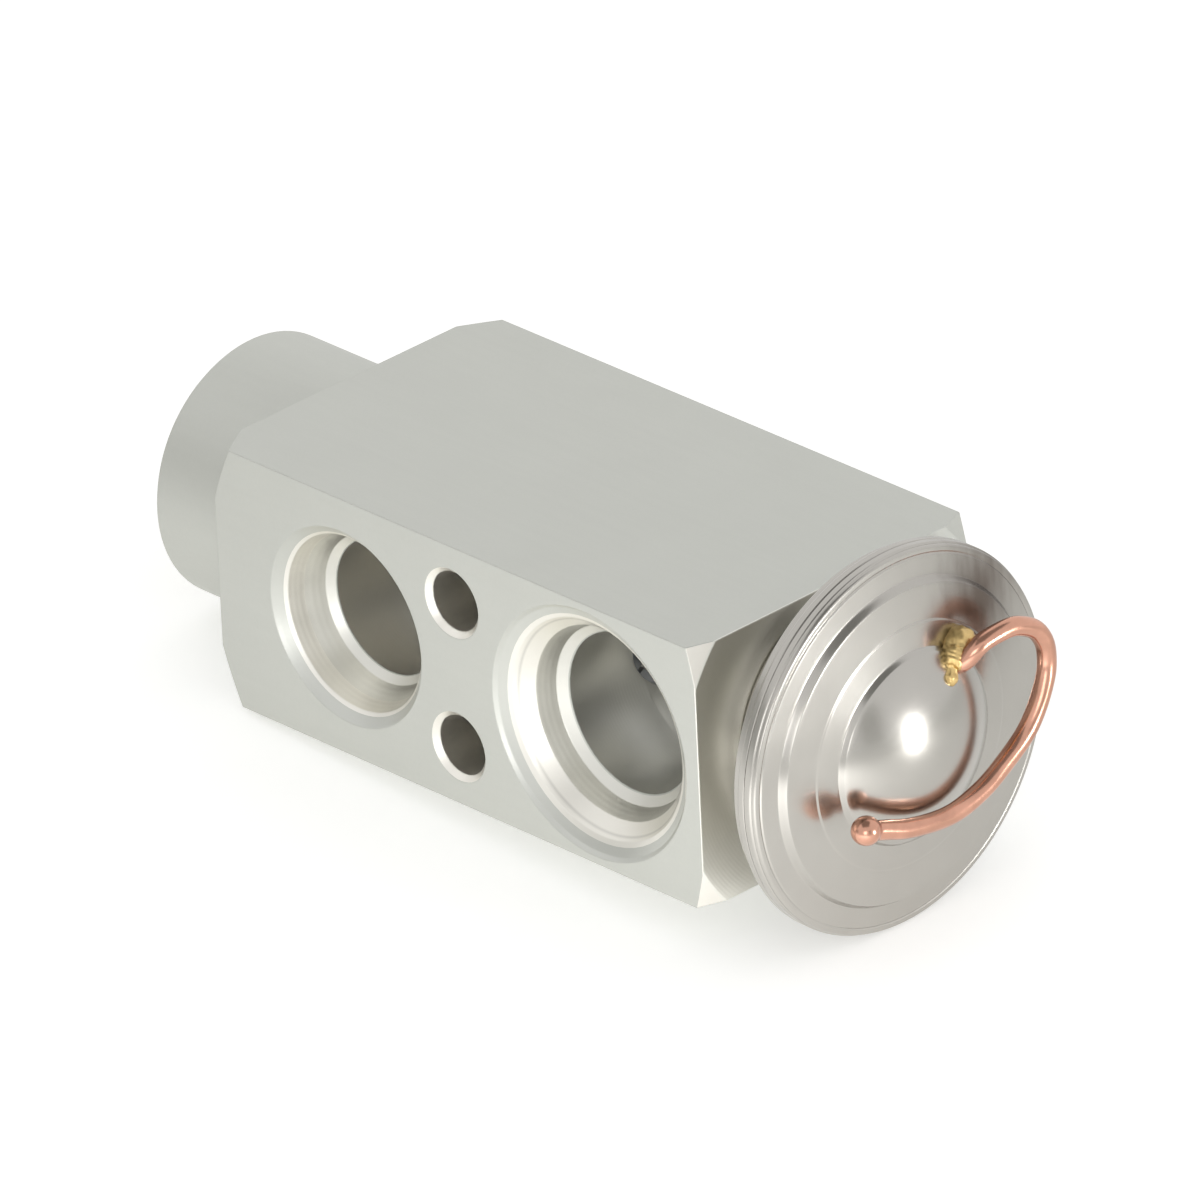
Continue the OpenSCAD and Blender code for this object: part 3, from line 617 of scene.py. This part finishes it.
def blasted_aluminium(block):
    """Aluminium bar, sawn and turned, then blasted and tumbled, with its ports and head end cut last.

    The blasting gives the faces and the boss a fine even grain and a soft satin shine. The bored
    ports, the bolt holes and the turned head end are lighter and shinier, and keep the tool's rings.
    Part of that lightness is painted light: deep in the ports and bolt holes, at the front of the
    head's end and on the front corner facets.
    """
    base = tuple(block.aluminium)
    material, tree, shader, place = new_finish("blasted_aluminium", base, 1.0, block.satin)
    pale, end, cut, port, suction, way = block_masks(tree, place)

    # Real tool marks are 0.1 mm apart. They are drawn wider, so that they show
    rings = tool_rings(tree, way, block.tool_pitch / MM)
    grain = blotches(tree, place, block.grain / MM, 3.0)

    # Handling leaves clouds some 9 mm wide, and the saw leaves streaks along the bar
    clouds = blotches(tree, place, 9.0, 3.0)
    along = node(tree, "VectorMath", place, (0.06, 1.0, 1.0), operation="MULTIPLY")
    streaks = blotches(tree, along, 0.9)
    tone = node(tree, "Math", node(tree, "Math", clouds, 0.6, operation="MULTIPLY"),
                node(tree, "Math", streaks, 0.4, operation="MULTIPLY"), operation="ADD")

    # A step in the lead-in of the suction ports is painted in as a dark ring, a painted shade
    step_r, step_reach = LEAD_IN_STEP
    off = node(tree, "Math", suction, step_r, operation="SUBTRACT")
    off = node(tree, "Math", off, operation="ABSOLUTE")
    off = node(tree, "Math", off, step_reach, operation="DIVIDE")
    step = all_of(tree, node(tree, "MapRange", off, 0.0, 1.0, 1.0, 0.0), port)
    tone = node(tree, "Math", step, -3.0, tone, operation="MULTIPLY_ADD")

    skin = node(tree, "Mix", pale, inputs={"A": (*base, 1), "B": (*block.bored, 1)}, data_type="RGBA")
    skin = node(tree, "Mix", end, inputs={"A": skin.outputs["Result"], "B": (*block.faced, 1)},
                data_type="RGBA")
    shades = node(tree, "MapRange", tone, 0.0, 1.0, 0.965, 1.035, clamp=False)
    skin = node(tree, "VectorMath", skin.outputs["Result"], inputs={"Scale": shades}, operation="SCALE")
    dull = node(tree, "Math", grain, 0.08, block.satin - 0.04, operation="MULTIPLY_ADD")
    rough = node(tree, "Math", cut, block.turned - block.satin, dull, operation="MULTIPLY_ADD")

    edges = node(tree, "Bevel", inputs={"Radius": block.edge}, samples=4)
    height = node(tree, "Mix", cut, inputs={2: grain, 3: rings})
    bump = node(tree, "Bump", inputs={"Strength": 0.08, "Distance": 0.04 * MM, "Height": height,
                                      "Normal": edges})
    feed(tree, shader, {"Base Color": skin, "Roughness": rough, "Normal": bump})
    return material


def pressed_stainless(head):
    """Stainless sheet, pressed and spun: bright, with hair-fine rings and a few faint cloudy rubs.

    Beside the braze the steel has a dark brown-grey patch, torn into streaks.
    """
    base = tuple(head.stainless)
    material, tree, shader, place = new_finish("pressed_stainless", base, 1.0, head.polish)
    x, y, z = node(tree, "SeparateXYZ", place).outputs
    # The spinning marks are finer than a pixel, so they are drawn 0.3 mm apart
    marks = blotches(tree, node(tree, "CombineXYZ", radius_of(tree, y, z), x, 0.0), 0.3, 3.0)
    rubs = blotches(tree, place, 4.5, 4.0)

    # The streaks run upwards, four times as long as they are wide
    smeared = node(tree, "VectorMath", place, (1.0, 1.0, 0.25), operation="MULTIPLY")
    torn = blotches(tree, smeared, 1.1, 4.0)
    # A dark brown-grey patch, torn into streaks, lies beside the braze and stops short of the dome
    away = node(tree, "VectorMath", place, TINT_PLACE, operation="DISTANCE").outputs["Value"]
    away = node(tree, "Math", away, TINT_TEAR / 2, operation="SUBTRACT")
    away = node(tree, "Math", torn, TINT_TEAR, away, operation="MULTIPLY_ADD")
    streaked_patch = all_of(tree, fade_of(tree, away, TINT_REACH),
                   node(tree, "Math", x, CLEAN_DOME_X, operation="LESS_THAN"), TINT_COVER)

    clean = tinted(tree, base, rubs, 0.95, 1.04)
    skin = node(tree, "Mix", streaked_patch, inputs={"A": clean, "B": (*head.tint, 1)}, data_type="RGBA")
    rough = node(tree, "Math", node(tree, "Math", rubs, 0.08, head.polish - 0.05, operation="MULTIPLY_ADD"),
                 node(tree, "Math", marks, 0.04, operation="MULTIPLY"), operation="ADD")
    bump = node(tree, "Bump", inputs={"Strength": 0.05, "Distance": 0.03 * MM, "Height": marks})
    feed(tree, shader, {"Base Color": skin.outputs["Result"], "Roughness": rough, "Normal": bump})
    return material


def drawn_copper(tube):
    """Copper tube, drawn and heated for brazing: warm and bright, with darker heat-tinted patches."""
    base = tuple(tube.copper)
    material, tree, shader, place = new_finish("drawn_copper", base, 1.0, 0.24)
    patches = blotches(tree, place, 2.6, 3.0)
    fine = blotches(tree, place, 0.4)
    bump = node(tree, "Bump", inputs={"Strength": 0.12, "Distance": 0.06 * MM, "Height": patches})
    feed(tree, shader, {"Base Color": tinted(tree, base, patches, 0.62, 1.14),
                        "Roughness": node(tree, "MapRange", fine, 0.0, 1.0, 0.15, 0.28), "Normal": bump})
    return material


def melted_braze(tube):
    """Brass braze, left as it melted: yellow, finely rippled, with dull flux in its hollows."""
    base = tuple(tube.braze)
    material, tree, shader, place = new_finish("melted_braze", base, 1.0, 0.34)
    ripples = blotches(tree, place, 0.55, 3.0)
    bump = node(tree, "Bump", inputs={"Strength": 0.5, "Distance": 0.12 * MM, "Height": ripples})
    feed(tree, shader, {"Base Color": tinted(tree, base, ripples, 0.75, 1.1),
                        "Roughness": node(tree, "MapRange", ripples, 0.0, 1.0, 0.48, 0.24), "Normal": bump})
    return material


def turned_metal(name, base, roughness, pitch):
    """A small turned metal piece on the valve axis: bright, with the tool's rings on faces and sides."""
    base = tuple(base)
    material, tree, shader, place = new_finish(name, base, 1.0, roughness)
    x, y, z = node(tree, "SeparateXYZ", place).outputs
    way = node(tree, "Math", radius_of(tree, y, z), x, operation="ADD")
    fine = blotches(tree, place, 0.5, 3.0)
    rough = node(tree, "MapRange", fine, 0.0, 1.0, roughness - 0.05, roughness + 0.08)
    bump = node(tree, "Bump", inputs={"Strength": 0.15, "Distance": 0.03 * MM,
                                      "Height": tool_rings(tree, way, pitch)})
    feed(tree, shader, {"Base Color": tinted(tree, base, fine, 0.93, 1.05), "Roughness": rough,
                        "Normal": bump})
    return material


def drawn_steel(base):
    """Spring wire and strip, drawn and heat treated: dark grey with a dull sheen and faint draw lines."""
    base = tuple(base)
    material, tree, shader, place = new_finish("drawn_spring_steel", base, 1.0, 0.34)
    fine = blotches(tree, place, 0.3, 3.0)
    bump = node(tree, "Bump", inputs={"Strength": 0.1, "Distance": 0.02 * MM, "Height": fine})
    feed(tree, shader, {"Base Color": tinted(tree, base, fine, 0.82, 1.08),
                        "Roughness": node(tree, "MapRange", fine, 0.0, 1.0, 0.28, 0.42), "Normal": bump})
    return material


def moulded_rubber(base):
    """Nitrile rubber rings, moulded and oiled: near black with a soft wet shine."""
    base = tuple(base)
    material, tree, shader, place = new_finish("moulded_rubber", base, 0.0, 0.42)
    film = blotches(tree, place, 0.8, 3.0)
    feed(tree, shader, {"Base Color": tinted(tree, base, film, 0.8, 1.3),
                        "Roughness": node(tree, "MapRange", film, 0.0, 1.0, 0.34, 0.55)})
    return material


def skived_ptfe(base):
    """PTFE washer, cut from skived sheet: waxy white and matt."""
    base = tuple(base)
    material, tree, shader, place = new_finish("skived_ptfe", base, 0.0, 0.5)
    shader.inputs["IOR"].default_value = 1.35
    feed(tree, shader, {"Base Color": tinted(tree, base, blotches(tree, place, 1.2), 0.95, 1.0)})
    return material


def dress(names, material):
    """Gives CAD nodes a finish."""
    for name in names:
        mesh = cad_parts[name].data
        mesh.materials.clear()
        mesh.materials.append(material)


def fit_piece(piece, material, slot, *nodes):
    """Gives a new piece its finish and sets it in the place of CAD nodes on the block."""
    piece.data.materials.append(material)
    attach(piece, "block")
    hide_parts(*nodes)


# Operators

class VALVE_OT_block(bpy.types.Operator):
    """Gives the block its blasted and turned finish"""
    bl_idname = "valve.block"
    bl_label = "Block"

    def execute(self, context):
        dress(["valve_body"], blasted_aluminium(context.scene.valve_block))
        return {"FINISHED"}


class VALVE_OT_covers(bpy.types.Operator):
    """Makes the power element's two covers"""
    bl_idname = "valve.covers"
    bl_label = "Covers"

    def execute(self, context):
        head = context.scene.valve_head
        steel = pressed_stainless(head)
        upper = turned_piece("upper_cover_skin", upper_cover_line(head), 360, "poles")
        fit_piece(upper, steel, "stainless", "upper_cover")
        lower = turned_piece("lower_cover_skin", lower_cover_line(head), 360, "ring")
        fit_piece(lower, steel, "stainless", "lower_cover")
        dress(["diaphragm"], steel)
        return {"FINISHED"}


class VALVE_OT_charge_tube(bpy.types.Operator):
    """Makes the copper charge tube with its melted ball"""
    bl_idname = "valve.charge_tube"
    bl_label = "Charge tube"

    def execute(self, context):
        tube = context.scene.valve_tube
        grid = tube_grid(tube.tube / MM / 2, tube.bead / MM / 2)
        piece = piece_from_grid("charge_tube_skin", grid, "poles")
        fit_piece(piece, drawn_copper(tube), "copper", "charge_tube")
        return {"FINISHED"}


class VALVE_OT_braze(bpy.types.Operator):
    """Makes the lump of braze that joins the tube to the cover"""
    bl_idname = "valve.braze"
    bl_label = "Braze"

    def execute(self, context):
        tube = context.scene.valve_tube
        piece = piece_from_grid("braze_lump", braze_grid(tube.lumps / MM), "poles")
        fit_piece(piece, melted_braze(tube), "braze_brass", "braze_fillet")
        return {"FINISHED"}


class VALVE_OT_train(bpy.types.Operator):
    """Gives the pieces inside and the adjusting screw their finishes"""
    bl_idname = "valve.train"
    bl_label = "Valve train and screw"

    def execute(self, context):
        train = context.scene.valve_train
        dress(["sensing_shaft", "diaphragm_pad"], turned_metal("turned_aluminium", train.shaft, 0.25, 0.3))
        dress(["operating_pin", "valve_ball"], turned_metal("ground_steel", train.steel, 0.14, 0.2))
        dress(["ball_carrier"], turned_metal("turned_brass", train.brass, 0.28, 0.3))
        dress(["adjusting_screw"], turned_metal("turned_screw_brass", train.brass, 0.3, 0.4))
        steel = drawn_steel(train.spring)
        dress(["damping_spring", "seal_retainer"], steel)
        # The coil is made as a front half and a back half
        (back, *_), (front, *_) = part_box("superheat_spring")
        for name, body, first, last, end in (("superheat_spring_front", "valve_train", 0, 0.5, front),
                                             ("superheat_spring_back", "screw_seal", 0.5, 1, back)):
            piece = piece_from_grid(name, spring_grid(front / MM, back / MM, first, last), "poles")
            piece.data.materials.append(steel)
            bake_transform(piece)
            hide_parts("superheat_spring")
        dress(["head_seal", "shaft_seal", "screw_seal"], moulded_rubber(train.rubber))
        dress(["backup_washer"], skived_ptfe(train.washer))
        return {"FINISHED"}


def soft_lamp(name, watts, width, height, place, target):
    """A soft box of width by height metres at a place, looking at a target."""
    light = bpy.data.lights.new(name, "AREA")
    light.shape, light.size, light.size_y, light.energy = "RECTANGLE", width, height, watts
    lamp = bpy.data.objects.new(name, light)
    lamp.visible_camera = False
    lamp.location = place
    lamp.rotation_euler = (Vector(target) - Vector(place)).to_track_quat("-Z", "Y").to_euler()
    bpy.context.scene.collection.objects.link(lamp)


def floor_finish(stage):
    """Matt white board: evenly lit, it keeps the valve's soft shadow.

    A little glow of its own lifts it to the white of the backdrop, and in shiny surfaces two pools of
    light stand on it at the front.
    """
    material = bpy.data.materials.new("matt_board")
    material.use_nodes = True
    tree = material.node_tree
    shader = tree.nodes["Principled BSDF"]
    shader.inputs["Base Color"].default_value = (*stage.floor, 1)
    shader.inputs["Roughness"].default_value = 0.9
    shader.inputs["Specular IOR Level"].default_value = 0.0
    shader.inputs["Emission Color"].default_value = (1, 1, 1, 1)
    rays = node(tree, "LightPath").outputs
    place = node(tree, "TexCoord").outputs["Object"]
    lit = stage.mirrored
    for (middle, reach), strength in zip(POOLS, (stage.pool, stage.patch)):
        away = node(tree, "VectorMath", place, middle, operation="DISTANCE").outputs["Value"]
        lit = node(tree, "Math", fade_of(tree, away, reach), strength, lit, operation="MULTIPLY_ADD")
    lit = node(tree, "Math", rays["Is Glossy Ray"], lit, operation="MULTIPLY")
    glow = node(tree, "Math", rays["Is Camera Ray"], stage.glow, lit, operation="MULTIPLY_ADD")
    feed(tree, shader, {"Emission Strength": glow})
    return material


def shade(name, base, width, height, place, target):
    """A cloth or card that shiny surfaces mirror: a flat sheet that looks at a target, in metres."""
    across = (Vector(target) - Vector(place)).to_track_quat("-Z", "Y").to_matrix()
    u, v = (np.array(axis) for axis in (across.col[0] * width / 2, across.col[1] * height / 2))
    corners = np.array([[-1, -1], [1, -1], [1, 1], [-1, 1]]) @ np.array([u, v]) + np.array(place)
    mesh = bpy.data.meshes.new(name)
    mesh.from_pydata(corners.tolist(), [], [[0, 1, 2, 3]])
    material = bpy.data.materials.new(name)
    material.use_nodes = True
    shader = material.node_tree.nodes["Principled BSDF"]
    shader.inputs["Base Color"].default_value = (*base, 1)
    shader.inputs["Roughness"].default_value = 0.95
    shader.inputs["Specular IOR Level"].default_value = 0.0
    mesh.materials.append(material)
    sheet = bpy.data.objects.new(name, mesh)
    sheet.visible_camera = sheet.visible_shadow = sheet.visible_diffuse = False
    bpy.context.scene.collection.objects.link(sheet)


def white_room(stage):
    """The room: white where the camera or a shiny surface sees it, and a plain soft light elsewhere."""
    world = bpy.data.worlds.new("white_room")
    bpy.context.scene.world = world
    world.use_nodes = True
    tree = world.node_tree
    rays = node(tree, "LightPath").outputs
    seen = any_of(tree, rays["Is Camera Ray"], rays["Is Glossy Ray"], rays["Is Transmission Ray"])
    back = tree.nodes["Background"]
    back.inputs["Color"].default_value = (1, 1, 1, 1)
    feed(tree, back, {"Strength": node(tree, "MapRange", seen, 0.0, 1.0, stage.sky, 1.0)})


def photo_camera(lens):
    """The camera at the photograph's angle and distance."""
    data = bpy.data.cameras.new("camera")
    data.lens, data.sensor_width, data.clip_end = lens, 36, 10
    camera = bpy.data.objects.new("camera", data)
    bpy.context.scene.collection.objects.link(camera)
    az, el, roll = (math.radians(v) for v in CAMERA_TURN)
    away = Vector((-math.sin(az) * math.cos(el), math.cos(az) * math.cos(el), -math.sin(el)))
    level = Vector((math.cos(az), math.sin(az), 0))
    above = level.cross(away)
    right = math.cos(roll) * level + math.sin(roll) * above
    up = -math.sin(roll) * level + math.cos(roll) * above
    place = Matrix((right, up, -away)).transposed().to_4x4()
    place.translation = Vector(CAMERA_TARGET) - CAMERA_DISTANCE * away
    camera.matrix_world = place
    bpy.context.scene.camera = camera


def floor_grid(size, cells):
    """A square of floor under the valve, which rests on the rim's lowest point and the boss's end.

    Its height is -rim's radius - fall (x - x of that point), in mm.
    """
    u = np.linspace(-size, size, cells)
    x, y = np.meshgrid(u, u, indexing="ij")
    return np.stack([x, y, -RIM_R - FLOOR_FALL * (x - FLOOR_X)], -1)


class VALVE_OT_stage(bpy.types.Operator):
    """Sets up the floor, the room, the lamps and the camera"""
    bl_idname = "valve.stage"
    bl_label = "Stage"

    def execute(self, context):
        stage = context.scene.valve_stage
        photo_camera(stage.lens)
        white_room(stage)
        grid = floor_grid(FLOOR_HALF, FLOOR_CELLS)
        i, j = np.meshgrid(np.arange(FLOOR_CELLS - 1), np.arange(FLOOR_CELLS - 1), indexing="ij")
        a = (i * FLOOR_CELLS + j).ravel()
        faces = np.stack([a, a + FLOOR_CELLS, a + FLOOR_CELLS + 1, a + 1], -1)
        mesh = bpy.data.meshes.new("floor")
        mesh.from_pydata((grid.reshape(-1, 3) * MM).tolist(), [], faces.tolist())
        mesh.materials.append(floor_finish(stage))
        floor = bpy.data.objects.new("floor", mesh)
        context.scene.collection.objects.link(floor)
        soft_lamp("key_lamp", stage.key, *KEY_LAMP)
        soft_lamp("side_lamp", stage.side, *SIDE_LAMP)
        shade("left_cloth", stage.cloth, *LEFT_CLOTH)
        shade("ceiling_cloth", stage.dark, *CEILING_CLOTH)
        shade("right_sheet", stage.sheet, *RIGHT_SHEET)
        context.scene.view_settings.view_transform = "Standard"
        return {"FINISHED"}


OPERATORS = [VALVE_OT_block, VALVE_OT_covers, VALVE_OT_charge_tube, VALVE_OT_braze, VALVE_OT_train,
             VALVE_OT_stage]


class VALVE_PT_parts(bpy.types.Panel):
    """Lists the valve's settings and pieces"""
    bl_idname = "VALVE_PT_parts"
    bl_label = "Expansion valve"
    bl_space_type = "VIEW_3D"
    bl_region_type = "UI"
    bl_category = "Expansion valve"

    def draw(self, context):
        for name, group in SETTINGS.items():
            box = self.layout.box()
            for setting in group.__annotations__:
                box.prop(getattr(context.scene, name), setting)
        for operator in OPERATORS:
            self.layout.operator(operator.bl_idname)


CLASSES = [*SETTINGS.values(), *OPERATORS, VALVE_PT_parts]


def register():
    for cls in CLASSES:
        bpy.utils.register_class(cls)
    for name, group in SETTINGS.items():
        setattr(bpy.types.Scene, name, bpy.props.PointerProperty(type=group))


def unregister():
    for name in SETTINGS:
        delattr(bpy.types.Scene, name)
    for cls in reversed(CLASSES):
        bpy.utils.unregister_class(cls)


def main():
    register()
    bpy.ops.valve.stage()
    bpy.ops.valve.block()
    bpy.ops.valve.covers()
    bpy.ops.valve.charge_tube()
    bpy.ops.valve.braze()
    bpy.ops.valve.train()
    bpy.context.view_layer.update()


if __name__ == "__main__":
    main()
